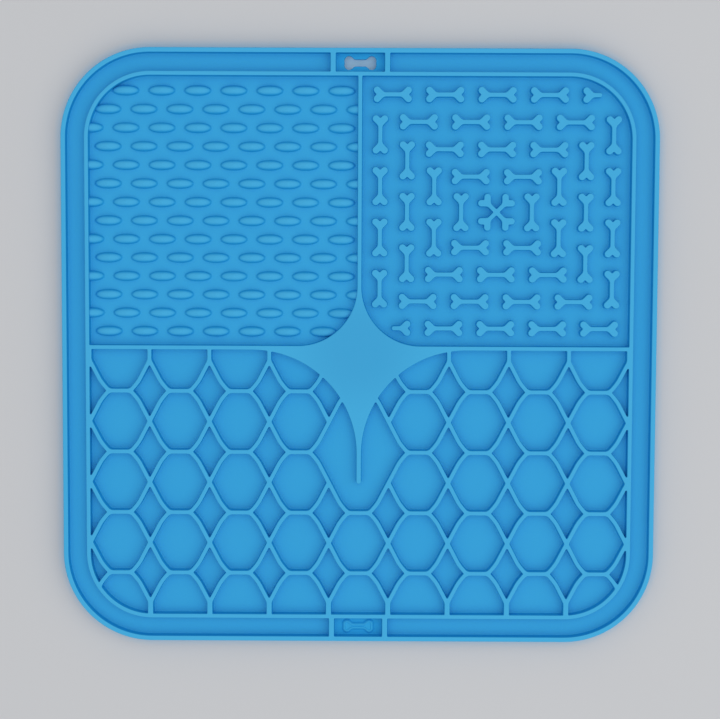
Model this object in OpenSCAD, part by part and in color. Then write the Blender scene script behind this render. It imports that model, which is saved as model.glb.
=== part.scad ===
// A square silicone lick mat with rounded corners. Three licking fields, one of ovals, one of little
// bones and one of honeycomb, meet at a four-pointed star. A channel runs round them, with a hanging
// hole in its top tab. All of it is one moulding, so its features meet face to face and nothing moves.
// The origin is the middle of the mat on the surface that it lies on.

/* [Mat] */
// Side of the square mat
mat_w = 200; // [190:1:220]
// Radius of the mat's outer corners
corner_r = 30; // [26:0.5:36]
// Thickness of the flat sheet
sheet_t = 1.6; // [1.2:0.1:3]

/* [Rim and channel] */
// Width of the outer rim's flat top
rim_w = 1.6; // [1.2:0.1:2.4]
// Height of the outer rim above the sheet
rim_h = 3; // [2.2:0.1:5]
// Clear width of the channel between rim and wall
channel_w = 6.2; // [5.6:0.1:8]
// Width of the wall round the licking fields
wall_w = 1.4; // [1:0.1:2]
// Height of the wall, dividers, star and honeycomb above the sheet
wall_h = 3; // [2.2:0.1:5]

/* [Tabs in the channel] */
// Distance between the middles of the two ribs that close off a tab
tab_pitch = 18.1; // [16:0.1:24]
// Width of a tab's rib
tab_rib_w = 1.8; // [1:0.1:2.4]
// Length of the bone-shaped hanging hole and of the raised badge
tab_bone_l = 11; // [9:0.1:12]
// Width of both over their knobs
tab_bone_w = 4.8; // [4.4:0.1:5.2]
// Diameter of a knob at their corners
tab_knob_d = 2.9; // [2.4:0.1:3.1]
// Width of their shaft
tab_shaft_w = 2.5; // [1.6:0.1:2.8]
// Height of the badge above the sheet
badge_h = 1; // [0.8:0.1:2.2]

/* [Dividers and star] */
// Width of the ribs that part the licking fields
divider_w = 1.4; // [1:0.1:2]
// Radius of the star's two upper hollows
star_upper_r = 20; // [16:0.5:24]
// Radius of the star's two lower hollows
star_lower_r = 35.2; // [30:0.2:38]
// Distance from the mat's middle to the end of the star's tail
tail_reach = 46; // [42:0.5:50]
// Width of the star's tail
tail_w = 1.6; // [1.2:0.1:2.2]

/* [Ovals] */
// Length of an oval nub
oval_l = 8.9; // [6:0.1:10]
// Width of an oval nub
oval_w = 3.3; // [2.4:0.1:4]
// Height of an oval nub above the sheet
oval_h = 2.4; // [2.1:0.1:3]
// Distance between ovals along a row
oval_pitch = 12.04; // [11:0.02:14]
// Distance between rows of ovals
oval_row_pitch = 6.195; // [5:0.005:7]
// Distance from the wall to the middle of the first row
oval_row_inset = 4.9; // [3:0.1:6]
// Distance from the wall to the middle of an even row's first oval
oval_first_inset = 0.37; // [0.2:0.01:2]

/* [Bones] */
// Length of a bone
bone_l = 12.8; // [11:0.1:14]
// Width of a bone over its knobs
bone_w = 5.3; // [4.6:0.1:6]
// Diameter of a bone's knob
bone_knob_d = 2.4; // [2:0.1:2.6]
// Width of a bone's shaft
bone_shaft_w = 1.5; // [1.2:0.1:2.2]
// Length of each of the two crossed bones
cross_bone_l = 13.7; // [12:0.1:14]
// Height of a bone above the sheet
bone_h = 2.6; // [1.6:0.1:3]
// Distance from the crossed bones to the innermost ring of bones
bone_ring_r = 11.85; // [11.6:0.05:12.2]
// Distance between rings of bones
bone_ring_pitch = 9.05; // [8.6:0.05:9.2]
// Least distance from the bones to the wall
bone_edge_gap = 2.5; // [1:0.1:4]
// Distance between level bones in a row
level_pitch = 17.45; // [17:0.05:17.6]
// Distance between upright bones in a column
upright_pitch = 17.15; // [16.8:0.05:17.6]

/* [Honeycomb] */
// Width and height that the honeycomb's cells come out near, in whole cells
comb_cell = 20; // [18:0.1:22]
// Width of the honeycomb's ribs
comb_w = 1.4; // [1:0.1:2]
// Length of a level rib between its two bends
comb_bar_l = 7.2; // [6:0.1:8.4]
// Angle of a slanting rib from level where two of them cross
comb_angle = 62.5; // [60:0.5:64]
// Height of the short posts below the cross divider
top_post_h = 3.66; // [3:0.02:5]
// Height of the short posts above the bottom wall
bottom_post_h = 3.88; // [3:0.02:5]
// Width of the bottom posts
bottom_post_w = 1.8; // [1:0.1:2.2]

/* [Suction cups] */
// Outer diameter of a suction cup at its lip
cup_d = 20; // [14:0.5:22]
// Height of a suction cup below the sheet
cup_h = 1.8; // [1.4:0.1:4]
// Width of a suction cup's flat lip
cup_lip_w = 1; // [0.6:0.1:1.6]
// How much a suction cup narrows from its lip to the sheet, on each side
cup_flare = 1.4; // [0.4:0.1:2]
// Thickness of silicone over the middle of a cup's hollow
cup_roof_t = 0.5; // [0.3:0.1:1]
// Distance between the middles of suction cups
cup_pitch = 30; // [26:0.5:32]
// Least distance from a suction cup to the mat's edge
cup_edge_gap = 10; // [6:0.5:14]

/* [Hidden] */
$fn = 96;
silicone_blue = [62, 158, 213] / 255;

// Levels
sheet_top = cup_h + sheet_t;

// Half widths at the faces of the channel and the wall, all with one corner centre
half = mat_w / 2;
channel_outer = half - rim_w;
channel_inner = channel_outer - channel_w;
field_half = channel_inner - wall_w;
divider_half = divider_w / 2;
tail_half = tail_w / 2;
middle_of_channel = (channel_outer + channel_inner) / 2;
over = mat_w;

// The star's tips, where its hollows touch the dividers and the tail
star_top = star_upper_r + divider_half;
star_side = star_lower_r + tail_half;
star_foot = star_lower_r + divider_half;

// The field of bones, its middle and how many rings fit round that
bones_middle = (field_half + divider_half) / 2;
bone_room = (field_half - divider_half) / 2 - bone_edge_gap - bone_w / 2;
bone_rings = floor((bone_room - bone_ring_r) / bone_ring_pitch) + 1;

// The honeycomb's grid of crossings, with an odd number of columns so that one is under the star
comb_columns = 2 * round((2 * field_half / comb_cell - 1) / 2) + 1;
comb_pitch = 2 * field_half / comb_columns;
comb_h = field_half - divider_half - top_post_h - bottom_post_h;
comb_rows = round(comb_h / comb_cell);
comb_row_pitch = comb_h / comb_rows;
comb_top = -divider_half - top_post_h;

// How many suction cups fit across
cups_across = floor((mat_w - cup_d - 2 * cup_edge_gap) / cup_pitch) + 1;

// How far up a slanting rib its straight stretch ends, and where the curve above it is aimed
straight_share = 0.59;
aim_share = 0.755;
curve_steps = 4;

// Outlines

// A square with rounded corners whose arcs keep the mat's corner centres
module mat_outline(half_width) {
    r = corner_r - (half - half_width);
    square([2 * half_width, 2 * (half_width - r)], center = true);
    square([2 * (half_width - r), 2 * half_width], center = true);
    for (x = [-1, 1], y = [-1, 1])
        translate([x * (half_width - r), y * (half_width - r)])
            circle(r);
}

// A bone lying along X: a shaft, and at each end two knobs on short arms at 45 degrees
module bone_outline(length, width, knob_d, shaft_w) {
    knob_x = (length - knob_d) / 2;
    knob_y = (width - knob_d) / 2;
    square([2 * (knob_x - knob_y), shaft_w], center = true);
    for (end = [0, 180], side = [-1, 1])
        rotate(end) {
            translate([knob_x, side * knob_y])
                circle(d = knob_d);
            translate([knob_x, side * knob_y])
                rotate(side * 45)
                    translate([-knob_y * sqrt(2), -knob_d / 2])
                        square([knob_y * sqrt(2), knob_d]);
        }
}

// A whole bone of the field
module plain_bone() {
    bone_outline(bone_l, bone_w, bone_knob_d, bone_shaft_w);
}

// One half of a bone, whose shaft ends round at the bone's middle
module half_bone_outline() {
    intersection() {
        plain_bone();
        translate([-bone_l - bone_shaft_w / 2, -bone_w])
            square([bone_l, 2 * bone_w]);
    }
    translate([-bone_shaft_w / 2, 0])
        circle(d = bone_shaft_w);
}

// The star, its side tips lying along the cross divider, and its tail
module star_outline() {
    difference() {
        translate([-star_side, -star_foot])
            square([2 * star_side, star_foot + divider_half]);
        for (x = [-1, 1])
            translate([x * star_side, -star_foot])
                circle(star_lower_r);
    }
    difference() {
        translate([-star_top, 0])
            square([2 * star_top, star_top]);
        for (x = [-1, 1])
            translate([x * star_top, star_top])
                circle(star_upper_r);
    }
    translate([-tail_half, -tail_reach + tail_half])
        square([tail_w, tail_reach - star_lower_r]);
    translate([0, -tail_reach + tail_half])
        circle(d = tail_w);
}

// The whole of the area inside the wall, less the star
module open_field() {
    difference() {
        mat_outline(field_half);
        star_outline();
    }
}

// The field of ovals, left of the upright divider and above the cross divider
module oval_field() {
    intersection() {
        open_field();
        translate([-over - divider_half, divider_half])
            square(over);
    }
}

// The field of bones, right of the upright divider and above the cross divider
module bone_field() {
    intersection() {
        open_field();
        translate([divider_half, divider_half])
            square(over);
    }
}

// The honeycomb's field, below the cross divider
module comb_field() {
    intersection() {
        open_field();
        translate([-over / 2, -over - divider_half])
            square(over);
    }
}

// A layer that stands on the sheet
module on_sheet(height) {
    translate([0, 0, sheet_top])
        linear_extrude(height)
            children();
}

// The flat sheet, open at the top tab where the panel with the hanging hole fills it
module base_sheet() {
    color(silicone_blue)
    translate([0, 0, cup_h])
        linear_extrude(sheet_t)
            difference() {
                mat_outline(half);
                translate([-tab_pitch / 2, channel_inner])
                    square([tab_pitch, rim_w + channel_w]);
            }
}

// The sheet's panel in the top tab, with the bone-shaped hanging hole
module hanger_panel() {
    color(silicone_blue)
    translate([0, 0, cup_h])
        linear_extrude(sheet_t)
            difference() {
                translate([-tab_pitch / 2, channel_inner])
                    square([tab_pitch, rim_w + channel_w]);
                translate([0, middle_of_channel])
                    bone_outline(tab_bone_l, tab_bone_w, tab_knob_d, tab_shaft_w);
            }
}

// The rim round the outside of the mat
module outer_rim() {
    color(silicone_blue)
    on_sheet(rim_h)
        difference() {
            mat_outline(half);
            mat_outline(channel_outer);
        }
}

// The wall round the licking fields
module inner_wall() {
    color(silicone_blue)
    on_sheet(wall_h)
        difference() {
            mat_outline(channel_inner);
            mat_outline(field_half);
        }
}

// The two ribs that close off a tab in the channel, side 1 at the top and -1 at the bottom
module tab_ribs(side) {
    on_sheet(wall_h)
        for (x = [-1, 1])
            translate([x * tab_pitch / 2, side * middle_of_channel])
                square([tab_rib_w, channel_w], center = true);
}

module hanger_ribs() {
    color(silicone_blue)
    tab_ribs(1);
}

module badge_ribs() {
    color(silicone_blue)
    tab_ribs(-1);
}

// The raised bone in the bottom tab
module bone_badge() {
    color(silicone_blue)
    on_sheet(badge_h)
        translate([0, -middle_of_channel])
            bone_outline(tab_bone_l, tab_bone_w, tab_knob_d, tab_shaft_w);
}

// The rib between the ovals and the bones, from the star's top to the wall
module upright_divider() {
    color(silicone_blue)
    on_sheet(wall_h)
        translate([-divider_half, star_top])
            square([divider_w, field_half - star_top]);
}

// The two ribs above the honeycomb, from the star's side tips to the wall
module cross_divider() {
    color(silicone_blue)
    on_sheet(wall_h)
        for (x = [star_side, -field_half])
            translate([x, -divider_half])
                square([field_half - star_side, divider_w]);
}

module centre_star() {
    color(silicone_blue)
    on_sheet(wall_h)
        star_outline();
}

// One oval nub: a low pointed base with half a spindle lying on it
module oval_nub() {
    r = (oval_l * oval_l + oval_w * oval_w) / (4 * oval_w);
    base_h = oval_h - oval_w / 2;
    linear_extrude(base_h)
        intersection_for (y = [-1, 1])
            translate([0, y * (r - oval_w / 2)])
                circle(r);
    translate([0, 0, base_h])
        rotate([90, 0, 90])
            rotate_extrude(angle = 180)
                intersection() {
                    translate([oval_w / 2 - r, 0])
                        circle(r);
                    translate([0, -oval_l])
                        square([oval_w, 2 * oval_l]);
                }
}

// The middle of an oval, each row lying half a pitch along from the last
function oval_place(row, column) = [
    oval_first_inset - field_half + (column + (row % 2) / 2) * oval_pitch,
    field_half - oval_row_inset - row * oval_row_pitch,
];

// Whether an oval stays inside an arc of the field's edge and the straight edges that run on from it
function within(place, arc_centre, arc_r, side) =
    norm([
        max(0, side.x * (place.x - arc_centre.x) + oval_l / 2),
        max(0, side.y * (place.y - arc_centre.y) + oval_w / 2),
    ]) < arc_r;

function is_whole(place) =
    within(place, [corner_r - half, half - corner_r], corner_r - half + field_half, [-1, 1])
    && within(place, [-star_top, star_top], star_upper_r, [1, -1]);

// Rows of ovals, those at the edges cut where a wall or the star is in the way
module oval_nubs() {
    rows = floor((field_half - divider_half - oval_row_inset - oval_w / 2) / oval_row_pitch);
    columns = ceil(field_half / oval_pitch);
    color(silicone_blue)
    for (row = [0:rows], column = [0:columns])
        let (place = oval_place(row, column))
            if (is_whole(place))
                translate([place.x, place.y, sheet_top])
                    oval_nub();
            else
                intersection() {
                    translate([place.x, place.y, sheet_top])
                        oval_nub();
                    on_sheet(2 * oval_h)
                        oval_field();
                }
}

// Whether a level bone is one of the two that the wall's corner and the star leave room for only half of
function halved(ring, side, place) =
    ring == bone_rings && ((side == 1 && place == ring) || (side == -1 && place == 0));

// Rings of bones round the crossed pair: level ones above and below, one more in each ring
module level_bones() {
    color(silicone_blue)
    on_sheet(bone_h)
        intersection() {
            for (ring = [1:bone_rings], side = [-1, 1], place = [0:ring])
                if (!halved(ring, side, place))
                    translate([
                        bones_middle + (place - ring / 2) * level_pitch,
                        bones_middle + side * (bone_ring_r + (ring - 1) * bone_ring_pitch),
                    ])
                        plain_bone();
            bone_field();
        }
}

// Upright bones at the sides of the rings
module upright_bones() {
    color(silicone_blue)
    on_sheet(bone_h)
        intersection() {
            for (ring = [1:bone_rings], side = [-1, 1], place = [1:ring])
                translate([
                    bones_middle + side * (bone_ring_r + (ring - 1) * bone_ring_pitch),
                    bones_middle + (place - (ring + 1) / 2) * upright_pitch,
                ])
                    rotate(90)
                        plain_bone();
            bone_field();
        }
}

// The half bones at the wall's top corner and beside the star
module half_bones() {
    color(silicone_blue)
    on_sheet(bone_h)
        intersection() {
            for (side = [-1, 1])
                translate([
                    bones_middle + side * bone_rings / 2 * level_pitch,
                    bones_middle + side * (bone_ring_r + (bone_rings - 1) * bone_ring_pitch),
                ])
                    rotate(90 - side * 90)
                        half_bone_outline();
            bone_field();
        }
}

// Two bones crossed in the middle of the rings
module crossed_bones() {
    color(silicone_blue)
    on_sheet(bone_h)
        translate([bones_middle, bones_middle])
            for (turn = [45, 135])
                rotate(turn)
                    bone_outline(cross_bone_l, bone_w, bone_knob_d, bone_shaft_w);
}

// The middle line of a slanting rib, from a crossing up and right to the end of a level rib:
// straight at first, then a curve that flattens towards the bar
function slant_at(share) = [share * comb_row_pitch / 2 / tan(comb_angle), share * comb_row_pitch / 2];
function slant_end() = [(comb_pitch - comb_bar_l) / 2, comb_row_pitch / 2];
function slant_curve(t) =
    (1 - t) * (1 - t) * slant_at(straight_share)
    + 2 * t * (1 - t) * slant_at(aim_share)
    + t * t * slant_end();
function slant_line() = [
    slant_at(0),
    for (step = [0:curve_steps]) slant_curve(step / curve_steps),
];

// A point of a path moved sideways, square to the path there
function beside(path, i, offset) =
    let (
        before = path[max(i - 1, 0)],
        after = path[min(i + 1, len(path) - 1)],
        along = (after - before) / norm(after - before)
    )
    path[i] + offset * [-along.y, along.x];

// The outline of one slanting rib that rises to the right of its crossing
module slant_outline() {
    path = slant_line();
    last = len(path) - 1;
    intersection() {
        polygon([
            for (i = [0:last]) beside(path, i, comb_w / 2),
            for (i = [last:-1:0]) beside(path, i, -comb_w / 2),
        ]);
        translate([-comb_pitch / 2, -comb_row_pitch / 2])
            square([comb_pitch, comb_row_pitch]);
    }
}

// A crossing's place, from its column and its row counted down from the posts under the divider
function crossing(column, row) = [column * comb_pitch - field_half, comb_top - row * comb_row_pitch];

// The four slanting ribs of a crossing, by the way they leave it. There are none above the top row or
// below the bottom row, and the cell under the star has no level rib in it, nor the four that meet it.
middle_column = (comb_columns - 1) / 2;
function left_out(column, row, across, up) =
    (row == 0 && up == 1)
    || (row == comb_rows && up == -1)
    || (across == 1 && column == middle_column && row - (up + 1) / 2 == 1)
    || (across == -1 && column == middle_column + 1 && row - (up + 1) / 2 == 1);

module slants(column, row, falling) {
    for (up = [-1, 1])
        if (!left_out(column, row, falling ? -up : up, up))
            rotate(up == 1 ? 0 : 180)
                mirror([falling ? 1 : 0, 0])
                    slant_outline();
}

// The part of a crossing's own cell that its ribs may fill, so that they end face to face
module crossing_cell(row) {
    low = row == comb_rows ? 0 : -comb_row_pitch / 2;
    high = row == 0 ? 0 : comb_row_pitch / 2;
    translate([-comb_pitch / 2, low])
        square([comb_pitch, high - low]);
}

// The short level ribs' outlines
module bars_outline() {
    for (column = [0:comb_columns - 1], row = [0:comb_rows - 1])
        if (!(column == middle_column && row <= 1))
            translate(crossing(column, row) + [comb_pitch / 2, -comb_row_pitch / 2])
                square([comb_bar_l, comb_w], center = true);
}

module comb_bars() {
    color(silicone_blue)
    on_sheet(wall_h)
        intersection() {
            bars_outline();
            comb_field();
        }
}

// The ribs that rise to the right, each running on through its crossing
module comb_rising_ribs() {
    color(silicone_blue)
    on_sheet(wall_h)
        intersection() {
            difference() {
                for (column = [0:comb_columns], row = [0:comb_rows])
                    translate(crossing(column, row))
                        intersection() {
                            slants(column, row, false);
                            crossing_cell(row);
                        }
                bars_outline();
            }
            comb_field();
        }
}

// The ribs that fall to the right, each in two halves that end at the rising rib
module comb_falling_ribs() {
    color(silicone_blue)
    on_sheet(wall_h)
        intersection() {
            difference() {
                for (column = [0:comb_columns], row = [0:comb_rows])
                    translate(crossing(column, row))
                        intersection() {
                            difference() {
                                slants(column, row, true);
                                slants(column, row, false);
                            }
                            crossing_cell(row);
                        }
                bars_outline();
            }
            comb_field();
        }
}

// The short posts between the cross divider and the top crossings, half a post at each end wall
module comb_top_posts() {
    color(silicone_blue)
    on_sheet(wall_h)
        intersection() {
            for (column = [0:comb_columns])
                translate([crossing(column, 0).x - comb_w / 2, comb_top])
                    square([comb_w, top_post_h]);
            comb_field();
        }
}

// The short posts between the bottom crossings and the wall
module comb_bottom_posts() {
    color(silicone_blue)
    on_sheet(wall_h)
        for (column = [1:comb_columns - 1])
            translate([crossing(column, 0).x - bottom_post_w / 2, -field_half])
                square([bottom_post_w, bottom_post_h]);
}

// One suction cup, seen in half section: a low flared disc with a shallow round hollow below
module suction_cup() {
    hollow_r = cup_d / 2 - cup_lip_w;
    hollow_h = cup_h - cup_roof_t;
    round_r = (hollow_r * hollow_r + hollow_h * hollow_h) / (2 * hollow_h);
    rotate_extrude()
        difference() {
            polygon([
                [0, 0],
                [cup_d / 2, 0],
                [cup_d / 2 - cup_flare, cup_h],
                [0, cup_h],
            ]);
            translate([0, hollow_h - round_r])
                circle(round_r);
        }
}

// The grid of suction cups under the sheet
module suction_cups() {
    middle = (cups_across - 1) / 2;
    color(silicone_blue)
    for (x = [0:cups_across - 1], y = [0:cups_across - 1])
        translate([(x - middle) * cup_pitch, (y - middle) * cup_pitch])
            suction_cup();
}

base_sheet();
hanger_panel();
outer_rim();
inner_wall();
hanger_ribs();
badge_ribs();
bone_badge();
upright_divider();
cross_divider();
centre_star();
oval_nubs();
level_bones();
upright_bones();
half_bones();
crossed_bones();
comb_bars();
comb_rising_ribs();
comb_falling_ribs();
comb_top_posts();
comb_bottom_posts();
suction_cups();
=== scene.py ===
import math

import bpy
import numpy as np
from mathutils import Matrix, Vector
from mathutils.geometry import delaunay_2d_cdt


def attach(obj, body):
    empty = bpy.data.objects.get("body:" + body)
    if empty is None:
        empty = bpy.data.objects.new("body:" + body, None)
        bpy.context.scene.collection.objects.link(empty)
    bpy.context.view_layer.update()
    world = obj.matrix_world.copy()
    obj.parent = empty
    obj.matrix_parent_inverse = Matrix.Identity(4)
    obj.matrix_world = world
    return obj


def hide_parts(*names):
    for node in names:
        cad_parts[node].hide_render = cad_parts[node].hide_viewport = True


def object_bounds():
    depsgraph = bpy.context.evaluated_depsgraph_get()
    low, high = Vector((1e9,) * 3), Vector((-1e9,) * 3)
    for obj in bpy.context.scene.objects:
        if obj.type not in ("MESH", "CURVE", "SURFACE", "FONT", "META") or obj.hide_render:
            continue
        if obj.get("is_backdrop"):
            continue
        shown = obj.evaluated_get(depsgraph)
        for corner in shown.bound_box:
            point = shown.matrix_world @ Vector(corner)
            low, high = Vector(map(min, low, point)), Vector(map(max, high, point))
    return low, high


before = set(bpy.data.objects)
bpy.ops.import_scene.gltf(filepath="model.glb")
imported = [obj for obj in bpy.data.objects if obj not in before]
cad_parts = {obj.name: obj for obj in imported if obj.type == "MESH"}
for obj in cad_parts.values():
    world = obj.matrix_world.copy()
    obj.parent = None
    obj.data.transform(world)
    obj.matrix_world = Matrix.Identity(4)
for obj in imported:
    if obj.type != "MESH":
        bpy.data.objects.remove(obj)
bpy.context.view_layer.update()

# Sheet and hanging panel
# The whole mat is one shot of blue silicone rubber, pressed in a mould. A flat sheet carries all
# the rest. In the top tab it is a small panel with a hole like a bone, by which the mat hangs on a
# hook. The outlines are in millimetres, as the mould maker draws them.
MM = 0.001
HALF = 100.0
CORNER_R = 30.0
CORNER_MIDDLE = HALF - CORNER_R
SHEET_LOW = 1.8
SHEET_TOP = 3.4
SHEET_EDGE_R = 0.35
UNDER_RIM = 0.5
CHANNEL_OUTER = 98.4
CHANNEL_INNER = 92.2
MIDDLE_OF_CHANNEL = 95.3
TAB_HALF = 9.05
TAB_BONE = {
    "length": 10.9,
    "width": 4.8,
    "knob_d": 3.35,
    "shaft_w": 2.55,
    "notch_r": 1.5,
    "crotch_r": 1.2,
}
HOLE_EDGE_R = 0.2
HOLE_TIGHTER = 0.12


def box(x0, y0, x1, y1):
    return np.array([(x0, y0), (x1, y0), (x1, y1), (x0, y1)], float)


def arc(x, y, r, start, end, steps):
    """An arc from one angle in degrees to another, in so many straight steps."""
    turn = np.radians(np.linspace(start, end, steps + 1))
    return np.stack([x + r * np.cos(turn), y + r * np.sin(turn)], 1)


def turned(outline, degrees):
    """An outline turned about the origin."""
    c, s = math.cos(math.radians(degrees)), math.sin(math.radians(degrees))
    return outline @ np.array([(c, s), (-s, c)])


def rounded_square(half_width):
    """Every rounded square of the mat keeps the same four centres for its corners."""
    r = half_width - CORNER_MIDDLE
    corners = []
    for x, y, start in ((1, 1, 0), (-1, 1, 90), (-1, -1, 180), (1, -1, 270)):
        corners.append(arc(x * CORNER_MIDDLE, y * CORNER_MIDDLE, r, start, start + 90, 36))
    return np.concatenate(corners)


def bone_end(length, width, knob_d, shaft_w, notch_r, crotch_r):
    """The right end of a bone lying along X, from its shaft's lower side round to the upper one.

    Each of its two knobs leaves the shaft at 45 degrees over a small crotch, and a round notch,
    met at 45 degrees or less, lies between them.
    """
    r, s = knob_d / 2, shaft_w / 2
    x, y = (length - knob_d) / 2, (width - knob_d) / 2
    lean = min(45, math.degrees(math.asin(min(1.0, y / (r + notch_r)))))
    notch = x - y + (r + notch_r) * math.sqrt(2)
    if lean < 45:
        notch = x + math.sqrt((r + notch_r) ** 2 - y * y)
    crotch = x - y - r * math.sqrt(2) + s - crotch_r * math.tan(math.radians(45 / 2))
    return np.concatenate(
        [
            arc(crotch, -s - crotch_r, crotch_r, 90, 45, 6),
            arc(x, -y, r, -135, lean, 22),
            arc(notch, 0, notch_r, 180 + lean, 180 - lean, 10),
            arc(x, y, r, -lean, 135, 22),
            arc(crotch, s + crotch_r, crotch_r, -45, -90, 6),
        ]
    )


def whole_bone(sizes):
    end = bone_end(**sizes)
    return np.concatenate([end, turned(end, 180)])


def sides(line):
    """The steps from each spot of a closed line to the next."""
    return zip(line, line[1:] + line[:1])


INSIDE_ONLY = 1


def merge(shapes, keep):
    """Joins flat shapes, each given with its name, into one drawing.

    keep is told the names of all the shapes that a spot lies in, and names its piece or gives None.
    Gives the spots, the outlines, each with the piece that every edge belongs to, and the seams
    where two pieces meet. The solid lies left of an outline.
    """
    same_spot = 1e-4
    straight = 1e-3
    seam_end = 1.5
    ends = np.cumsum([0] + [len(outline) for _, outline in shapes])
    spots, _, tiles, _, _, within = delaunay_2d_cdt(
        [Vector(p) for _, outline in shapes for p in outline],
        [],
        [list(range(a, b)) for a, b in zip(ends, ends[1:])],
        INSIDE_ONLY,
        same_spot,
    )
    spots = np.array([p[:] for p in spots])
    owner = {}
    for tile, inside in zip(tiles, within):
        name = keep({shapes[i][0] for i in inside})
        if name:
            a, b, c = spots[tile[0]], spots[tile[1]], spots[tile[2]]
            if (b[0] - a[0]) * (c[1] - a[1]) < (b[1] - a[1]) * (c[0] - a[0]):
                tile = tile[::-1]
            for edge in sides(tile):
                owner[edge] = name
    after = {a: b for a, b in owner if (b, a) not in owner}
    touching = {}
    for (a, b), name in owner.items():
        if owner.get((b, a), name) != name:
            touching.setdefault(a, set()).add(b)
    seams = {}
    for start in after:
        for step in touching.get(start, ()):
            chain = [start, step]
            while chain[-1] not in after:
                chain.append(next(n for n in touching[chain[-1]] if n != chain[-2]))
            seams[min(start, chain[-1]), max(start, chain[-1])] = chain
    held = {spot for ends in seams for spot in ends}
    chains = []
    for chain in seams.values():
        ends = spots[[chain[0], chain[-1]]]
        between = [v for v in chain[1:-1] if min(np.hypot(*(ends - spots[v]).T)) > seam_end]
        chains.append([chain[0]] + between + [chain[-1]])
    loops = []
    waiting = set(after)
    while waiting:
        first = here = waiting.pop()
        loop = [first]
        while after[here] != first:
            here = after[here]
            waiting.discard(here)
            loop.append(here)
        names = [owner[edge] for edge in sides(loop)]
        before = spots[loop] - spots[np.roll(loop, 1)]
        ahead = np.roll(before, -1, 0)
        bend = np.abs(before[:, 0] * ahead[:, 1] - before[:, 1] * ahead[:, 0])
        bend /= np.linalg.norm(before, axis=1) * np.linalg.norm(ahead, axis=1)
        kept = [i for i in range(len(loop)) if bend[i] > straight or loop[i] in held]
        loops.append(([loop[i] for i in kept], [names[i] for i in kept]))
    return spots, loops, chains


def corner_radius(turn, stands_out):
    """Slight bends are rounded widely, and sharp ones more tightly in a hollow than on a corner."""
    slight = math.radians(48.7)
    sharp = math.radians(63.0)
    if turn < slight:
        return 2.0
    return 0.55 if stands_out or turn < sharp else 0.25


def soften(points):
    """Rounds an outline's corners. Gives the new points, and the new place of each old one."""
    least_turn = math.radians(14)
    most_of_gap = 0.48
    turn_of_a_step = 12
    least_step = 0.02
    ahead = np.roll(points, -1, 0) - points
    length = np.linalg.norm(ahead, axis=1)
    way = np.arctan2(ahead[:, 1], ahead[:, 0])
    turn = (way - np.roll(way, 1) + math.pi) % (2 * math.pi) - math.pi
    stands_out = turn > 0
    turn = np.abs(turn)
    along = np.concatenate([[0], np.cumsum(length)])
    total = along[-1]
    along = along[:-1]
    corners = [i for i in range(len(points)) if turn[i] > least_turn]
    cut = {}
    for n, i in enumerate(corners):
        gaps = [
            (along[i] - along[corners[n - 1]]) % total or total,
            (along[corners[(n + 1) % len(corners)]] - along[i]) % total or total,
        ]
        radius = corner_radius(turn[i], stands_out[i])
        cut[i] = min(radius * math.tan(turn[i] / 2), most_of_gap * min(gaps))
    rounded, places = [], []
    for i in range(len(points)):
        if i in cut:
            ends = (along[i] - cut[i], along[i] + cut[i])
            a, b = (
                np.array([np.interp(s, along, points[:, k], period=total) for k in (0, 1)])
                for s in ends
            )
            steps = 2 * max(1, round(math.degrees(turn[i]) / (2 * turn_of_a_step)))
            weight = math.cos(turn[i] / 2)
            places.append(len(rounded) + steps // 2)
            for t in np.linspace(0, 1, steps + 1):
                shares = np.array([(1 - t) ** 2, 2 * t * (1 - t) * weight, t * t])
                rounded.append(shares @ np.array([a, points[i], b]) / shares.sum())
        else:
            places.append(len(rounded))
            near = [
                abs((along[i] - along[c] + total / 2) % total - total / 2) - cut[c] for c in cut
            ]
            if not near or min(near) > least_step:
                rounded.append(points[i])
    return np.array(rounded), [p % len(rounded) for p in places]


def outward(points):
    """The sideways direction out of the solid at each point of an outline."""
    ahead = np.roll(points, -1, 0) - points
    side = np.stack([ahead[:, 1], -ahead[:, 0]], 1)
    both = side + np.roll(side, 1, 0)
    return both / np.linalg.norm(both, axis=1)[:, None]


def owners_of(names, places, size):
    """The piece that each step of a softened outline belongs to, from those of its old edges."""
    owners = [None] * size
    for i, name in enumerate(names):
        start, end = places[i], places[(i + 1) % len(places)]
        for step in range((end - start) % size or (size if len(places) == 1 else 0)):
            owners[(start + step) % size] = name
    return owners


def spread(found, tiles, shut):
    """Hands the names of the tiles found so far on to their neighbours, but not across a seam."""
    beside = {}
    for index, tile in enumerate(tiles):
        for edge in sides(tile):
            beside.setdefault(frozenset(edge), []).append(index)
    queue = list(found)
    while queue:
        index = queue.pop()
        for edge in map(frozenset, sides(tiles[index])):
            if edge not in shut:
                for other in beside[edge]:
                    if other not in found:
                        found[other] = found[index]
                        queue.append(other)


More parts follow.
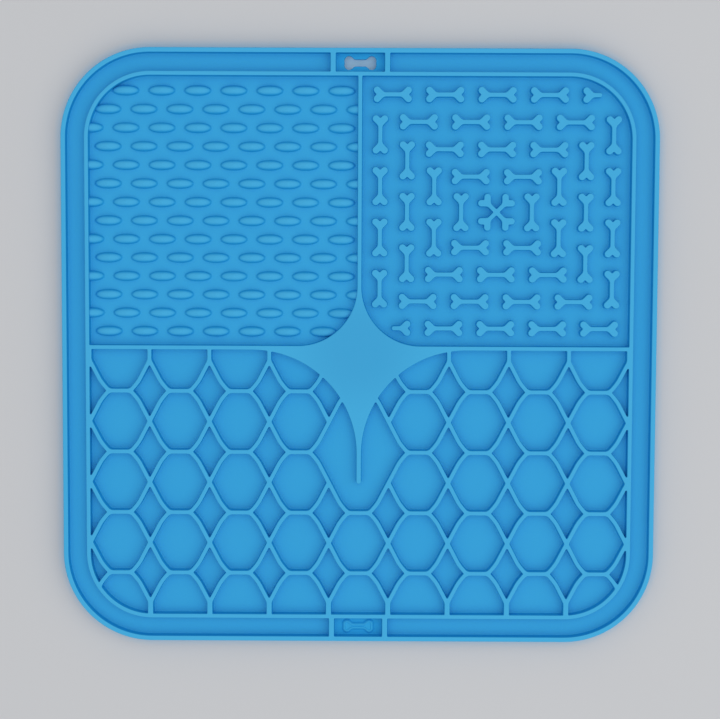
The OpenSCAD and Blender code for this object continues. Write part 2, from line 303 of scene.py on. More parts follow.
def mould(shapes, keep, profile, closed_below=False):
    """Raises merged shapes into pieces of smooth moulded rubber.

    profile gives, for an outer or an inner outline, rings of (distance out, height, lean of the
    surface in degrees, 90 facing up). Gives {piece: (points, normals, faces)}.
    """
    spots, loops, seams = merge(shapes, keep)
    points, normals, faces, edge_names, caps = [], [], {}, {}, []
    new_place = {}
    count = 0
    for loop, names in loops:
        line, places = soften(spots[loop])
        for old, new in zip(loop, places):
            new_place[old] = (len(caps), new)
        size = len(line)
        owners = owners_of(names, places, size)
        side = outward(line)
        x, y = line[:, 0], line[:, 1]
        is_outer = np.sum(x * np.roll(y, -1) - np.roll(x, -1) * y) > 0
        rings = profile(is_outer)
        for out, z, lean in rings:
            angle = math.radians(lean)
            rise = np.full(size, math.sin(angle))
            points.append(np.column_stack([line + side * out, np.full(size, z)]))
            normals.append(np.column_stack([side * math.cos(angle), rise]))
        for i in range(size):
            j = (i + 1) % size
            for ring in range(len(rings) - 1):
                a = count + ring * size
                b = a + size
                faces.setdefault(owners[i], []).append((a + i, a + j, b + j, b + i))
        top = count + (len(rings) - 1) * size
        caps.append((top, count, size, is_outer))
        for i in range(size):
            for ring in (top, count):
                edge_names[ring + i, ring + (i + 1) % size] = owners[i]
        count += len(rings) * size
    points = np.concatenate(points)
    normals = np.concatenate(normals)
    # The flat faces are cut into tiles, each named after the outline or the tile that it touches.
    for below in (False, True) if closed_below else (False,):
        back, outlines, joins = [], [], []
        for top, bottom, size, is_outer in caps:
            first = bottom if below else top
            outlines.append(list(range(len(back), len(back) + size)))
            back += list(range(first, first + size))
        for chain in seams:
            ends = [outlines[new_place[s][0]][new_place[s][1]] for s in (chain[0], chain[-1])]
            between = list(range(len(back), len(back) + len(chain) - 2))
            back += list(range(len(points), len(points) + len(between)))
            if between:
                level = np.full(len(between), points[back[0], 2])
                points = np.concatenate([points, np.column_stack([spots[chain[1:-1]], level])])
                facing = np.tile((0, 0, -1 if below else 1), (len(between), 1))
                normals = np.concatenate([normals, facing])
            line = [ends[0]] + between + [ends[1]]
            joins += list(zip(line, line[1:]))
        flat = [Vector(points[v, :2]) for v in back]
        areas = [line if cap[3] else line[::-1] for line, cap in zip(outlines, caps)]
        same_spot = 1e-5
        _, _, tiles, came_from, _, within = delaunay_2d_cdt(
            flat, joins, areas, INSIDE_ONLY, same_spot
        )
        solid_tiles, found = [], {}
        for tile, inside in zip(tiles, within):
            if sum(1 if caps[i][3] else -1 for i in inside) < 1:
                continue
            tile = [came_from[v][0] for v in tile]
            a, b, c = (flat[v] for v in tile[:3])
            if (b - a).cross(c - a) < 0:
                tile = tile[::-1]
            for edge in sides(tile):
                name = edge_names.get(tuple(back[v] for v in edge))
                if name:
                    found[len(solid_tiles)] = name
            solid_tiles.append(tile)
        spread(found, solid_tiles, {frozenset(join) for join in joins})
        for index, name in found.items():
            tile = [back[v] for v in solid_tiles[index]]
            faces[name].append(tuple(tile[::-1] if below else tile))
    return {name: (points, normals, kept) for name, kept in faces.items()}


def round_over(r, z, out=0.0, start=0, end=90, steps=4):
    """A convex edge of radius r that turns from facing out to facing up, its top at height z."""
    return [
        (out - r + r * math.cos(a), z - r + r * math.sin(a), math.degrees(a))
        for a in np.radians(np.linspace(start, end, steps + 1))
    ]


def sheet_edge(is_outer):
    """The rim stands on the outer edge. The hole has a crisp edge on both faces."""
    r, out = (SHEET_EDGE_R, 0.0) if is_outer else (HOLE_EDGE_R, HOLE_TIGHTER)
    over = round_over(r, SHEET_LOW, out)
    below = [(o, 2 * SHEET_LOW - z, -lean) for o, z, lean in over][::-1]
    if is_outer:
        return below + [(0.0, SHEET_TOP, 0.0), (-UNDER_RIM, SHEET_TOP, 90.0)]
    return below + round_over(r, SHEET_TOP, out)


def sheet_piece(inside):
    if "hole" in inside or "base_sheet" not in inside:
        return None
    return "hanger_panel" if "hanger_panel" in inside else "base_sheet"


class Shade:
    """An output of a shader node, so that maths on such values can be written as plain sums."""

    def __init__(self, tree, socket=None):
        self.tree = tree
        self.socket = socket

    def node(self, kind, settings, values, out=0):
        """Adds a node with its settings and then its sockets, and gives one of its outputs."""
        made = self.tree.nodes.new(kind)
        for name, setting in settings.items():
            setattr(made, name, setting)
        for name, value in values.items():
            if isinstance(value, Shade):
                self.tree.links.new(value.socket, made.inputs[name])
            else:
                made.inputs[name].default_value = value
        return Shade(self.tree, made.outputs[out] if made.outputs else None)

    def maths(self, operation, *terms):
        return self.node("ShaderNodeMath", {"operation": operation}, dict(enumerate(terms)))

    def __add__(self, other):
        return self.maths("ADD", self, other)

    def __sub__(self, other):
        return self.maths("SUBTRACT", self, other)

    def __rsub__(self, other):
        return self.maths("SUBTRACT", other, self)

    def __mul__(self, other):
        return self.maths("MULTIPLY", self, other)

    def __abs__(self):
        return self.maths("ABSOLUTE", self)

    __radd__ = __add__
    __rmul__ = __mul__


def new_material(name):
    material = bpy.data.materials.new(name)
    material.use_nodes = True
    material.node_tree.nodes.clear()
    return material, Shade(material.node_tree)


def screen_colour(red, green, blue):
    """A colour as it looks on a screen, turned into light."""
    parts = (part / 255 for part in (red, green, blue))
    return (*(p / 12.92 if p < 0.04 else ((p + 0.055) / 1.055) ** 2.4 for p in parts), 1)


def speckle(place, scale, detail):
    values = {"Vector": place, "Scale": scale, "Detail": detail}
    return place.node("ShaderNodeTexNoise", {}, values)


def part_of(vector, axis):
    return vector.node("ShaderNodeSeparateXYZ", {}, {"Vector": vector}, axis)


def vector_maths(operation, *terms, out="Vector"):
    values = dict(enumerate(terms))
    return terms[0].node("ShaderNodeVectorMath", {"operation": operation}, values, out)


def mask(value, none_at, full_at, full=1.0, rise="SMOOTHSTEP"):
    """Nothing where the value is none_at, and full where it is full_at."""
    values = {"Value": value, "From Min": none_at, "From Max": full_at, "To Max": full}
    return value.node("ShaderNodeMapRange", {"interpolation_type": rise}, values)


def tinted(share, colour, other, clamp=True):
    """A colour, turned into the other one where the share is 1."""
    settings = {"data_type": "RGBA", "clamp_factor": clamp}
    return share.node("ShaderNodeMix", settings, {"Factor": share, 6: colour, 7: other}, 2)


FLOOR_BLUE = screen_colour(51, 172, 230)
# Painted light: the paler blue that raised tops are painted towards.
PAINTED_TOP_LIGHT_BLUE = screen_colour(67, 180, 232)
# Painted shade: the greyer blue of the star's broad middle.
STAR_SHADE_BLUE = screen_colour(60, 170, 224)
# Painted shade: the deeper blue of the recessed tab floors.
TAB_SHADE_BLUE = screen_colour(36, 170, 230)
# Painted shade: the deeper blue painted on sides and feet, where shade falls.
SIDE_SHADE_BLUE = screen_colour(12, 158, 219)
silicone, shade = new_material("moulded_silicone")
place = shade.node("ShaderNodeTexCoord", {}, {}, "Object")
facing = shade.node("ShaderNodeTexCoord", {}, {}, "Normal")
across, along, height = (part_of(place, axis) for axis in "XYZ")
upward = part_of(facing, "Z")
cloud = speckle(place, 28.0, 3.0)
grain = speckle(place, 1500.0, 2.0)
dust = speckle(place, 420.0, 4.0)
# What stands high is painted paler as painted light, most on its level tops and soft top edges.
high = mask(height, 3.7 * MM, 5.2 * MM, full=0.9, rise="LINEAR")
level = mask(upward, 0.5, 0.97)
near_top = mask(height, 5.75 * MM, 5.9 * MM, rise="LINEAR")
# A painted highlight along the soft edge of each top.
top_edge_highlight = mask(upward, 0.9995, 0.975, full=0.5)
painted_light_and_mottle = (high + top_edge_highlight * near_top) * level
# Random cloudy, dusty and grainy mottle is added to the painted light.
painted_light_and_mottle = painted_light_and_mottle + (cloud - 0.5) * 0.25 + (dust - 0.5) * 0.3 + (grain - 0.5) * 0.15
# Painted shade: the star's middle is a little greyer; both tab floors and all sides are deeper.
from_middle = vector_maths("LENGTH", place, out="Value")
on_star = high * mask(from_middle, 26.0 * MM, 8.0 * MM)
# Painted shade on the floors of the recessed tabs.
in_tab = mask(abs(across), 8.4 * MM, 7.9 * MM, rise="LINEAR")
in_tab = in_tab * mask(abs(along), 91.5 * MM, 92.0 * MM, rise="LINEAR")
colour = tinted(painted_light_and_mottle, tinted(in_tab, FLOOR_BLUE, TAB_SHADE_BLUE), PAINTED_TOP_LIGHT_BLUE, clamp=False)
colour = tinted(on_star, colour, STAR_SHADE_BLUE)
# Painted shade on sides and feet, which face away from the light.
colour = tinted(mask(upward, 0.9, 0.25), colour, SIDE_SHADE_BLUE)
grit = {"Strength": 0.35, "Distance": 0.03 * MM, "Height": grain + dust * 0.6}
finish = {
    "Base Color": colour,
    "Roughness": (dust - 0.5) * 0.12 + 0.75,
    "Normal": shade.node("ShaderNodeBump", {}, grit),
    "IOR": 1.42,
    "Specular IOR Level": 0.4,
}
surface = shade.node("ShaderNodeBsdfPrincipled", {}, finish)
shade.node("ShaderNodeOutputMaterial", {}, {"Surface": surface})


def add_piece(name, points, normals, faces, *nodes):
    """Makes a piece of the mat from points in millimetres, in place of the CAD nodes named."""
    used = np.unique(np.concatenate([np.asarray(face) for face in faces]))
    place_of = {old: new for new, old in enumerate(used.tolist())}
    own_faces = [[place_of[v] for v in face] for face in faces]
    mesh = bpy.data.meshes.new("moulded_" + name)
    mesh.from_pydata((points[used] * MM).tolist(), [], own_faces)
    mesh.shade_smooth()
    mesh.normals_split_custom_set_from_vertices(normals[used].tolist())
    mesh.materials.append(silicone)
    piece = bpy.data.objects.new("moulded_" + name, mesh)
    bpy.context.scene.collection.objects.link(piece)
    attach(piece, "root")
    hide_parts(*nodes)


sheet_shapes = [
    ("base_sheet", rounded_square(HALF)),
    ("hanger_panel", box(-TAB_HALF, CHANNEL_INNER, TAB_HALF, HALF)),
    ("hole", whole_bone(TAB_BONE) + (0, MIDDLE_OF_CHANNEL)),
]
for name, made in mould(sheet_shapes, sheet_piece, sheet_edge, closed_below=True).items():
    add_piece(name, *made, name)

# Rim, walls, star and honeycomb
# Ribs of the same rubber rise from the sheet to one height and run into one another: the rim, the
# wall inside it, the tab ribs, the dividers, the flat star, and the honeycomb below them. They lean
# in slightly towards the top so that the rubber leaves its mould, with soft feet and soft edges.
FIELD_HALF = 90.8
WALL_TOP = 6.4
WALL_FOOT_R = 0.4
TOP_EDGE_R = 0.3
LEAN_OUT = 0.1
RIB_HALF = 0.7
UPPER_HOLLOW_R = 20.0
LOWER_HOLLOW_R = 35.2
STAR_TOP = UPPER_HOLLOW_R + RIB_HALF
TAIL_HALF = 0.8
TAIL_REACH = 46.0
STAR_SIDE = LOWER_HOLLOW_R + TAIL_HALF
STAR_FOOT = LOWER_HOLLOW_R + RIB_HALF
TAB_RIB_HALF = 0.9
COLUMNS = 9
TAIL_COLUMN = 4
ROWS = 4
TAIL_ROWS = 2
PITCH = 2 * FIELD_HALF / COLUMNS
TOP_POST = 3.66
BOTTOM_POST = 3.88
POST_RUN_IN = 0.3
COMB_TOP = -RIB_HALF - TOP_POST
COMB_FOOT = BOTTOM_POST - FIELD_HALF
ROW_PITCH = (COMB_TOP - COMB_FOOT) / ROWS
BAR_HALF = 3.6
SLANT = math.tan(math.radians(62.5))
STRAIGHT_SHARE = 0.59
AIM_SHARE = 0.755


def star_outline():
    """Upper and lower hollows leave four points, the lowest of which runs on as a thin tail."""
    tail_end = TAIL_HALF - TAIL_REACH
    return np.concatenate(
        [
            arc(STAR_TOP, STAR_TOP, UPPER_HOLLOW_R, 270, 180, 36),
            arc(-STAR_TOP, STAR_TOP, UPPER_HOLLOW_R, 0, -90, 36),
            [(-STAR_SIDE, RIB_HALF)],
            arc(-STAR_SIDE, -STAR_FOOT, LOWER_HOLLOW_R, 90, 0, 44),
            arc(0, tail_end, TAIL_HALF, 180, 360, 18),
            arc(STAR_SIDE, -STAR_FOOT, LOWER_HOLLOW_R, 180, 90, 44),
            [(STAR_SIDE, RIB_HALF)],
        ]
    )


def slant_outline():
    """A honeycomb rib from a crossing to the end of a bar, straight at first and then curving."""
    rise = ROW_PITCH / 2
    straight = np.array([STRAIGHT_SHARE * rise / SLANT, STRAIGHT_SHARE * rise])
    aim = np.array([AIM_SHARE * rise / SLANT, AIM_SHARE * rise])
    end = np.array([PITCH / 2 - BAR_HALF, rise])
    t = np.linspace(0, 1, 7)[:, None]
    curve = (1 - t) ** 2 * straight + 2 * t * (1 - t) * aim + t * t * end
    line = np.concatenate([[(0, 0)], curve])
    way = np.gradient(line, axis=0)
    way[0] = line[1]
    side = np.stack([-way[:, 1], way[:, 0]], 1) / np.linalg.norm(way, axis=1)[:, None]
    return np.concatenate([line - RIB_HALF * side, (line + RIB_HALF * side)[::-1]])


def is_missing(column, row, across, up):
    """No slants rise above the top row or fall below the bottom one, or cross the star's tail."""
    past_ends = (row == 0 and up == 1) or (row == ROWS and up == -1)
    beside_tail = (column, across) in ((TAIL_COLUMN, 1), (TAIL_COLUMN + 1, -1))
    row_of_cells = row - (up + 1) // 2
    return past_ends or (beside_tail and row_of_cells == TAIL_ROWS - 1)


wall_shapes = [
    ("outer_rim", rounded_square(HALF)),
    ("channel", rounded_square(CHANNEL_OUTER)),
    ("wall", rounded_square(CHANNEL_INNER)),
    ("field", rounded_square(FIELD_HALF)),
]
for name, y in (("hanger_ribs", CHANNEL_INNER), ("badge_ribs", -CHANNEL_OUTER)):
    for x in (-TAB_HALF, TAB_HALF):
        rib = box(x - TAB_RIB_HALF, y, x + TAB_RIB_HALF, y + CHANNEL_OUTER - CHANNEL_INNER)
        wall_shapes.append((name, rib))
wall_shapes += [
    ("upright_divider", box(-RIB_HALF, STAR_TOP, RIB_HALF, FIELD_HALF)),
    ("cross_divider", box(STAR_SIDE, -RIB_HALF, FIELD_HALF, RIB_HALF)),
    ("cross_divider", box(-FIELD_HALF, -RIB_HALF, -STAR_SIDE, RIB_HALF)),
    ("centre_star", star_outline()),
]
for x in (-FIELD_HALF, FIELD_HALF):
    half_post = box(x - RIB_HALF, COMB_TOP - POST_RUN_IN, x + RIB_HALF, -RIB_HALF)
    wall_shapes.append(("inner_wall", half_post))
comb = []
slant = slant_outline()
for column in range(COLUMNS + 1):
    x = column * PITCH - FIELD_HALF
    for row in range(ROWS + 1):
        y = COMB_TOP - row * ROW_PITCH
        for across in (-1, 1):
            for up in (-1, 1):
                if not is_missing(column, row, across, up):
                    comb.append(slant[:: across * up] * (across, up) + (x, y))
        beside_tail = column == TAIL_COLUMN and row < TAIL_ROWS
        if column < COLUMNS and row < ROWS and not beside_tail:
            middle = np.array([x + PITCH / 2, y - ROW_PITCH / 2] * 2)
            comb.append(box(*(middle + (-BAR_HALF, -RIB_HALF, BAR_HALF, RIB_HALF))))
    if 0 < column < COLUMNS:
        top = COMB_FOOT + POST_RUN_IN
        comb.append(box(x - RIB_HALF, COMB_TOP, x + RIB_HALF, -RIB_HALF))
        comb.append(box(x - TAB_RIB_HALF, -FIELD_HALF, x + TAB_RIB_HALF, top))
wall_shapes += [("honeycomb", outline) for outline in comb]


def wall_piece(inside):
    """Rim and wall each lie between two rounded squares, tab ribs between them, the rest inside."""
    if "channel" not in inside:
        return "outer_rim" if "outer_rim" in inside else None
    if "wall" not in inside:
        names = ("hanger_ribs", "badge_ribs")
    elif "field" not in inside:
        return "inner_wall"
    else:
        names = ("centre_star", "upright_divider", "cross_divider", "inner_wall", "honeycomb")
    return next((name for name in names if name in inside), None)


def soft_top(edge_r, top, tilt=0.0):
    """A soft edge that runs up into the flat top, which begins a little way in from it."""
    last_lean = 78
    flat_from = edge_r + 0.2
    return round_over(edge_r, top, 0.0, tilt, last_lean) + [(-flat_from, top, 90.0)]


def raised_edge(top, foot_r, foot_steps=4):
    """Foot, side and soft top edge of a rib, from the sheet up."""
    tilt = math.degrees(math.atan2(LEAN_OUT, top - SHEET_TOP - TOP_EDGE_R - foot_r))
    foot = []
    for a in np.linspace(0, 90 - tilt, foot_steps + 1):
        out = LEAN_OUT + foot_r * (1 - math.sin(math.radians(a)))
        foot.append((out, SHEET_TOP + foot_r * (1 - math.cos(math.radians(a))), 90 - a))
    return foot + soft_top(TOP_EDGE_R, top, tilt)


def wall_edge(is_outer):
    """The rim's outer side stands upright on the edge of the sheet."""
    if is_outer:
        return [(0.0, SHEET_TOP, 0.0)] + soft_top(TOP_EDGE_R, WALL_TOP)
    return raised_edge(WALL_TOP, WALL_FOOT_R)


honeycomb_nodes = [
    "comb_bars",
    "comb_rising_ribs",
    "comb_falling_ribs",
    "comb_top_posts",
    "comb_bottom_posts",
]
for name, made in mould(wall_shapes, wall_piece, wall_edge).items():
    add_piece(name, *made, *(honeycomb_nodes if name == "honeycomb" else [name]))

# Ovals
# Rows of low domed nubs, moulded in one with the sheet, hold soft food. Every second row is shifted
# by half a step. The nubs at the edges run into the wall, the divider and the star, and those with
# their middle far past an edge are left out.
OVAL_L = 8.9
OVAL_W = 3.3
OVAL_TOP = 5.8
OVAL_SIDE_TOP = 3.9
OVAL_FOOT_R = 0.55
OVAL_FULLNESS = 2.05
DOME_LENGTH = 0.97
DOME_DRAWN_IN = 1.6
OVAL_ROWS = 14
OVAL_COLUMNS = 9
OVAL_PITCH = 12.04
OVAL_ROW_PITCH = 6.195
OVAL_ROW_INSET = 4.9
OVAL_FIRST_INSET = 0.37
OVAL_RUN_IN = 3.0


def oval_rings(steps=36):
    """A nub has a soft foot and a short side, and its dome is drawn in faster towards its ends."""
    rings = []
    for a in np.radians((0, 25, 50, 70)):
        out = OVAL_FOOT_R * (1 - math.sin(a))
        z = SHEET_TOP + OVAL_FOOT_R * (1 - math.cos(a))
        rings.append((1 + 2 * out / OVAL_L, 1 + 2 * out / OVAL_W, z))
    for a in np.radians((0, 12, 24, 36, 48, 60, 71, 81)):
        share = math.cos(a)
        z = OVAL_SIDE_TOP + (OVAL_TOP - OVAL_SIDE_TOP) * math.sin(a)
        rings.append((DOME_LENGTH * share ** DOME_DRAWN_IN, share, z))
    turn = np.linspace(0, 2 * math.pi, steps, endpoint=False)
    c, s = np.cos(turn), np.sin(turn)
    x = OVAL_L / 2 * np.sign(c) * np.abs(c) ** (2 / OVAL_FULLNESS)
    y = OVAL_W / 2 * np.sign(s) * np.abs(s) ** (2 / OVAL_FULLNESS)
    grid = []
    for longer, wider, z in rings:
        grid.append(np.column_stack([x * longer, y * wider, np.full(steps, z)]))
    return np.array(grid)


def grid_normals(grid):
    along = np.roll(grid, -1, 1) - np.roll(grid, 1, 1)
    across = np.gradient(grid, axis=0)
    sideways = np.cross(along, across)
    return sideways / np.linalg.norm(sideways, axis=2)[:, :, None]


def grid_faces(rings, steps):
    faces = []
    for low in range(0, (rings - 1) * steps, steps):
        for i in range(steps):
            j = (i + 1) % steps
            faces.append((low + i, low + j, low + steps + j, low + steps + i))
    return faces


grid = oval_rings()
ring_count, step_count = grid.shape[:2]
nub_points = np.concatenate([grid.reshape(-1, 3), [(0, 0, OVAL_TOP)]])
nub_normals = grid_normals(grid)
nub_normals[0] = (0, 0, 1)
nub_normals = np.concatenate([nub_normals.reshape(-1, 3), [(0, 0, 1)]])
nub_faces = grid_faces(ring_count, step_count)
last = (ring_count - 1) * step_count
tip = ring_count * step_count
nub_faces += [(last + i, last + (i + 1) % step_count, tip) for i in range(step_count)]


def oval_cuts(x, y):
    """The flat cuts that end a nub inside the rib it runs into, each (point, direction kept)."""
    cuts = []
    behind = RIB_HALF / 2
    if x - OVAL_L / 2 < -FIELD_HALF:
        cuts.append(((-FIELD_HALF - behind, 0), (1, 0)))
    if x + OVAL_L / 2 > -RIB_HALF:
        cuts.append(((-RIB_HALF + behind, 0), (-1, 0)))
    corner = (CORNER_MIDDLE, FIELD_HALF - CORNER_MIDDLE, -1)
    hollow = (STAR_TOP, UPPER_HOLLOW_R, 1)
    for centre, r, side in (corner, hollow):
        over = side * (x + centre)
        up = -side * (y - centre)
        far = math.hypot(max(0, over + OVAL_L / 2), max(0, up + OVAL_W / 2))
        if far > r and over > -OVAL_L / 2 and up > -OVAL_W / 2:
            way = np.array([side * max(0.0, over + OVAL_L / 4), -side * max(0.0, up)])
            way /= np.linalg.norm(way)
            cuts.append((np.array([-centre, centre]) + way * (r + behind), -way))
    return cuts


def cut_away(points, normals, faces, cuts):
    """Cuts a small mesh with upright planes and keeps what lies on the side that each faces."""
    for origin, way in cuts:
        reach = (points[:, :2] - origin) @ np.asarray(way, float)
        if reach.min() >= 0:
            continue
        points, normals, reach = list(points), list(normals), list(reach)
        on_cut, kept = {}, []
        for face in faces:
            line = []
            for a, b in sides(face):
                if reach[a] >= 0:
                    line.append(a)
                if (reach[a] < 0) != (reach[b] < 0):
                    low, high = min(a, b), max(a, b)
                    if (low, high) not in on_cut:
                        share = reach[low] / (reach[low] - reach[high])
                        on_cut[low, high] = len(points)
                        points.append(points[low] * (1 - share) + points[high] * share)
                        normals.append(normals[low] * (1 - share) + normals[high] * share)
                        reach.append(0.0)
                    line.append(on_cut[low, high])
            if len(line) > 2:
                kept.append(tuple(line))
        points, normals, faces = np.array(points), np.array(normals), kept
    return points, normals, faces


def gather(copies):
    """Joins several small meshes into one."""
    points, normals, faces = [], [], []
    count = 0
    for p, n, f in copies:
        points.append(p)
        normals.append(n)
        faces += [tuple(v + count for v in face) for face in f]
        count += len(p)
    return np.concatenate(points), np.concatenate(normals), faces


nubs = []
for row in range(OVAL_ROWS):
    for column in range(OVAL_COLUMNS):
        x = OVAL_FIRST_INSET - FIELD_HALF + (column + row % 2 / 2) * OVAL_PITCH
        y = FIELD_HALF - OVAL_ROW_INSET - row * OVAL_ROW_PITCH
        past_corner = math.hypot(min(0, x + CORNER_MIDDLE), max(0, y - CORNER_MIDDLE))
        past_hollow = math.hypot(max(0, x + STAR_TOP), min(0, y - STAR_TOP))
        by_corner = past_corner < FIELD_HALF - CORNER_MIDDLE + OVAL_RUN_IN
        by_star = past_hollow < UPPER_HOLLOW_R + OVAL_RUN_IN
        if x < OVAL_RUN_IN and by_corner and by_star:
            nub = cut_away(nub_points + (x, y, 0), nub_normals, nub_faces, oval_cuts(x, y))
            if nub[2]:
                nubs.append(nub)
add_piece("oval_nubs", *gather(nubs), "oval_nubs")

# Bones
# Flat-topped little bones, moulded in one with the sheet, stand in rings round a crossed pair:
# level ones above and below it, and upright ones at its sides. Half bones fill two ends of the
# last ring.
BONE_TOP = 6.0
BONE_FOOT_R = 0.35
BONE = {
    "length": 12.8,
    "width": 5.25,
    "knob_d": 2.35,
    "shaft_w": 1.5,
    "notch_r": 0.3,
    "crotch_r": 1.5,
}
CROSSED_BONE = {**BONE, "length": 13.7, "width": 5.2, "knob_d": 2.25}
INNER_CORNER_R = 0.3
BONES_MIDDLE = 45.75
RINGS = 4
RING_R = 11.85
RING_PITCH = 9.05
LEVEL_PITCH = 17.45
UPRIGHT_PITCH = 17.15


def bone_edge(is_outer):
    return raised_edge(BONE_TOP, BONE_FOOT_R)


def moulded_bone(outline, edge):
    """One free-standing bone, whose outline is all outer."""
    return mould([("bone", outline)], lambda inside: "bone" if inside else None, edge)["bone"]


def stood(made, degrees, x, y):
    """A copy of a bone turned and moved on the sheet."""
    points, normals, faces = made
    c, s = math.cos(math.radians(degrees)), math.sin(math.radians(degrees))
    turn = np.array([(c, s, 0), (-s, c, 0), (0, 0, 1)])
    return points @ turn + (x, y, 0), normals @ turn, faces


shaft_half = BONE["shaft_w"] / 2
plain_bone = moulded_bone(whole_bone(BONE), bone_edge)
shaft_end = arc(-shaft_half, 0, shaft_half, -90, 90, 16)
half_bone = moulded_bone(np.concatenate([turned(bone_end(**BONE), 180), shaft_end]), bone_edge)
inner_corner = arc((shaft_half + INNER_CORNER_R) * math.sqrt(2), 0, INNER_CORNER_R, 225, 135, 8)
cross_parts = [bone_end(**CROSSED_BONE), turned(inner_corner, 45)]
cross = np.concatenate([turned(part, a) for a in (45, 135, 225, 315) for part in cross_parts])
level_bones, upright_bones, half_bones = [], [], []
for ring in range(1, RINGS + 1):
    far = RING_R + (ring - 1) * RING_PITCH
    for side in (-1, 1):
        on_ring = BONES_MIDDLE + side * far
        for n in range(ring + 1):
            x = BONES_MIDDLE + (n - ring / 2) * LEVEL_PITCH
            if ring == RINGS and n == (ring if side == 1 else 0):
                half_bones.append(stood(half_bone, 90 - side * 90, x, on_ring))
            else:
                level_bones.append(stood(plain_bone, 0, x, on_ring))
        for n in range(1, ring + 1):
            y = BONES_MIDDLE + (n - (ring + 1) / 2) * UPRIGHT_PITCH
            upright_bones.append(stood(plain_bone, 90, on_ring, y))
crossed_bones = [stood(moulded_bone(cross, bone_edge), 0, BONES_MIDDLE, BONES_MIDDLE)]
add_piece("level_bones", *gather(level_bones), "level_bones")
add_piece("upright_bones", *gather(upright_bones), "upright_bones")
add_piece("half_bones", *gather(half_bones), "half_bones")
add_piece("crossed_bones", *gather(crossed_bones), "crossed_bones")

# Badge
# The bottom tab carries a raised bone of the same size as the hanging hole, moulded in one with the
# sheet. Its sides slope up to a low ridge that runs all round a slightly sunken middle.
BADGE_PROFILE = [
    (0.2, 0.0, 90.0),
    (0.07, 0.05, 60.0),
    (0.0, 0.14, 42.0),
    (-0.14, 0.34, 42.0),
    (-0.34, 0.6, 50.0),
    (-0.58, 0.85, 60.0),
    (-0.76, 0.97, 78.0),
    (-0.85, 1.0, 92.0),
    (-0.95, 0.94, 122.0),
    (-1.06, 0.8, 142.0),
    (-1.16, 0.67, 135.0),
    (-1.24, 0.62, 100.0),
]


def badge_edge(is_outer):
    """The profile has (distance out, height above the sheet, lean), from the foot inwards."""
    return [(out, SHEET_TOP + rise, lean) for out, rise, lean in BADGE_PROFILE]


badge = moulded_bone(whole_bone(TAB_BONE), badge_edge)
add_piece("bone_badge", *stood(badge, 0, 0, -MIDDLE_OF_CHANNEL), "bone_badge")

# Suction cups
# On the back, soft shallow cups hold the mat to the table while the pet licks. Each is a low flared
# disc with a flat lip and a round hollow below, moulded in one with the sheet.
CUP_PITCH = 30.0
CUPS_A_SIDE = 6
CUP_STEPS = 48
CUP_HOLLOW_R = 9.0
CUP_HOLLOW_TOP = 1.3


def cup_grid():
    """Rings of a cup, from the middle of its hollow out over the lip and up to the sheet."""
    radii = (0.6, 2.0, 3.6, 5.2, 6.6, 7.8, 8.6)
    hollow = [(r, CUP_HOLLOW_TOP * (1 - (r / CUP_HOLLOW_R) ** 2)) for r in radii]
    lip = [(9.15, 0.03), (9.5, 0.0), (9.8, 0.02), (9.97, 0.15), (9.97, 0.32)]
    outside = [(9.8, 0.6), (9.3, 1.05), (8.85, 1.4), (8.65, 1.62), (8.62, 1.75), (8.8, SHEET_LOW)]
    turn = np.linspace(0, 2 * math.pi, CUP_STEPS, endpoint=False)
    grid = []
    for r, z in hollow + lip + outside:
        grid.append(np.column_stack([r * np.cos(turn), r * np.sin(turn), np.full(CUP_STEPS, z)]))
    return np.array(grid)


grid = cup_grid()
cup_points = np.concatenate([grid.reshape(-1, 3), [(0, 0, CUP_HOLLOW_TOP)]])
cup_normals = np.concatenate([grid_normals(grid).reshape(-1, 3), [(0, 0, -1)]])
cup_faces = grid_faces(*grid.shape[:2])
cup_faces += [((i + 1) % CUP_STEPS, i, len(cup_points) - 1) for i in range(CUP_STEPS)]
cup_places = [(i - (CUPS_A_SIDE - 1) / 2) * CUP_PITCH for i in range(CUPS_A_SIDE)]
cups = [(cup_points + (x, y, 0), cup_normals, cup_faces) for x in cup_places for y in cup_places]
add_piece("suction_cups", *gather(cups), "suction_cups")

# Table, light and camera
# The mat lies on a plain pale grey table, with painted blue light round and below the mat.
# One wide soft light stands over it, a little to the near right, with a pale studio round it all.
# The camera looks down from almost straight above.
TABLE_HALF = 2.0
TABLE_GREY = screen_colour(208, 209, 211)
TABLE_PALE_GREY = screen_colour(211, 212, 214)
# Painted blue light bounced off the rubber, close round the mat.
BOUNCED_LIGHT_BLUE = screen_colour(163, 215, 245)
# Painted blue light that passes through the rubber onto the table below it.
THROUGH_MAT_LIGHT_BLUE = screen_colour(198, 237, 255)
table_material, shade = new_material("pale_table")
place = shade.node("ShaderNodeTexCoord", {}, {}, "Object")
haze = speckle(place, 9.0, 2.0)
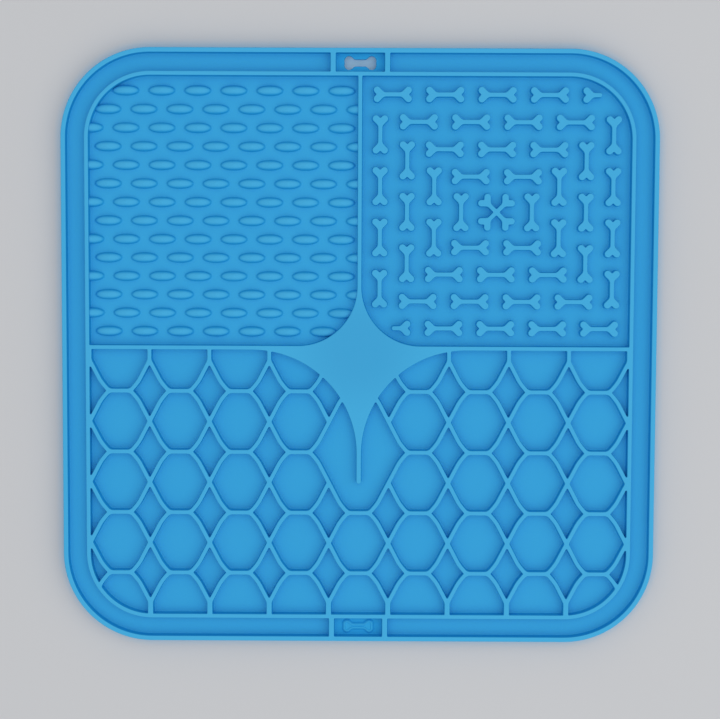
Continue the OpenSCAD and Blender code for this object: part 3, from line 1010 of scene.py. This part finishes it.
# The mat covers what is less than its corner radius away from the square of its corner middles.
corner = (CORNER_MIDDLE * MM, CORNER_MIDDLE * MM, 1.0)
past_corner = vector_maths("SUBTRACT", vector_maths("ABSOLUTE", place), corner)
past_corner = vector_maths("MAXIMUM", past_corner, (0.0, 0.0, 0.0))
from_corner = vector_maths("LENGTH", past_corner, out="Value")
round_mat = mask(from_corner, (CORNER_R + 4.0) * MM, (CORNER_R - 2.0) * MM)
under_mat = mask(from_corner, (CORNER_R - 1.0) * MM, (CORNER_R - 2.0) * MM, rise="LINEAR")
painted_mat_light = tinted(under_mat, BOUNCED_LIGHT_BLUE, THROUGH_MAT_LIGHT_BLUE)
tone = tinted(round_mat, tinted(haze, TABLE_GREY, TABLE_PALE_GREY), painted_mat_light)
finish = {"Base Color": tone, "Roughness": haze * 0.1 + 0.6}
surface = shade.node("ShaderNodeBsdfPrincipled", {}, finish)
shade.node("ShaderNodeOutputMaterial", {}, {"Surface": surface})
mesh = bpy.data.meshes.new("table")
corners = box(-TABLE_HALF, -TABLE_HALF, TABLE_HALF, TABLE_HALF).tolist()
mesh.from_pydata([(x, y, 0) for x, y in corners], [], [(0, 1, 2, 3)])
mesh.materials.append(table_material)
table = bpy.data.objects.new("table", mesh)
bpy.context.scene.collection.objects.link(table)
table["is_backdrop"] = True

lamp = bpy.data.lights.new("wide_light", "AREA")
lamp.size = 2.0
lamp.energy = 7.5
light = bpy.data.objects.new("wide_light", lamp)
light.location = (0.26, -0.14, 1.0)
light.rotation_euler = (-light.location).to_track_quat("-Z", "Y").to_euler()
bpy.context.scene.collection.objects.link(light)
world = bpy.data.worlds.new("studio")
world.use_nodes = True
world.node_tree.nodes["Background"].inputs["Color"].default_value = (0.97, 0.98, 1.0, 1)
world.node_tree.nodes["Background"].inputs["Strength"].default_value = 0.56
bpy.context.scene.world = world
bpy.context.scene.view_settings.view_transform = "Standard"

lens = bpy.data.cameras.new("camera")
lens.sensor_width = 36.0
lens.lens = 82.07
lens.clip_start = 0.01
camera = bpy.data.objects.new("camera", lens)
camera.matrix_world = Matrix(
    (
        (0.99998702, -0.00444488, 0.00249137, 0.00167193),
        (0.00425986, 0.99754468, 0.06990328, 0.03480785),
        (-0.00279597, -0.06989176, 0.99755066, 0.55738054),
        (0.0, 0.0, 0.0, 1.0),
    )
)
bpy.context.scene.collection.objects.link(camera)
bpy.context.scene.camera = camera

low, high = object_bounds()
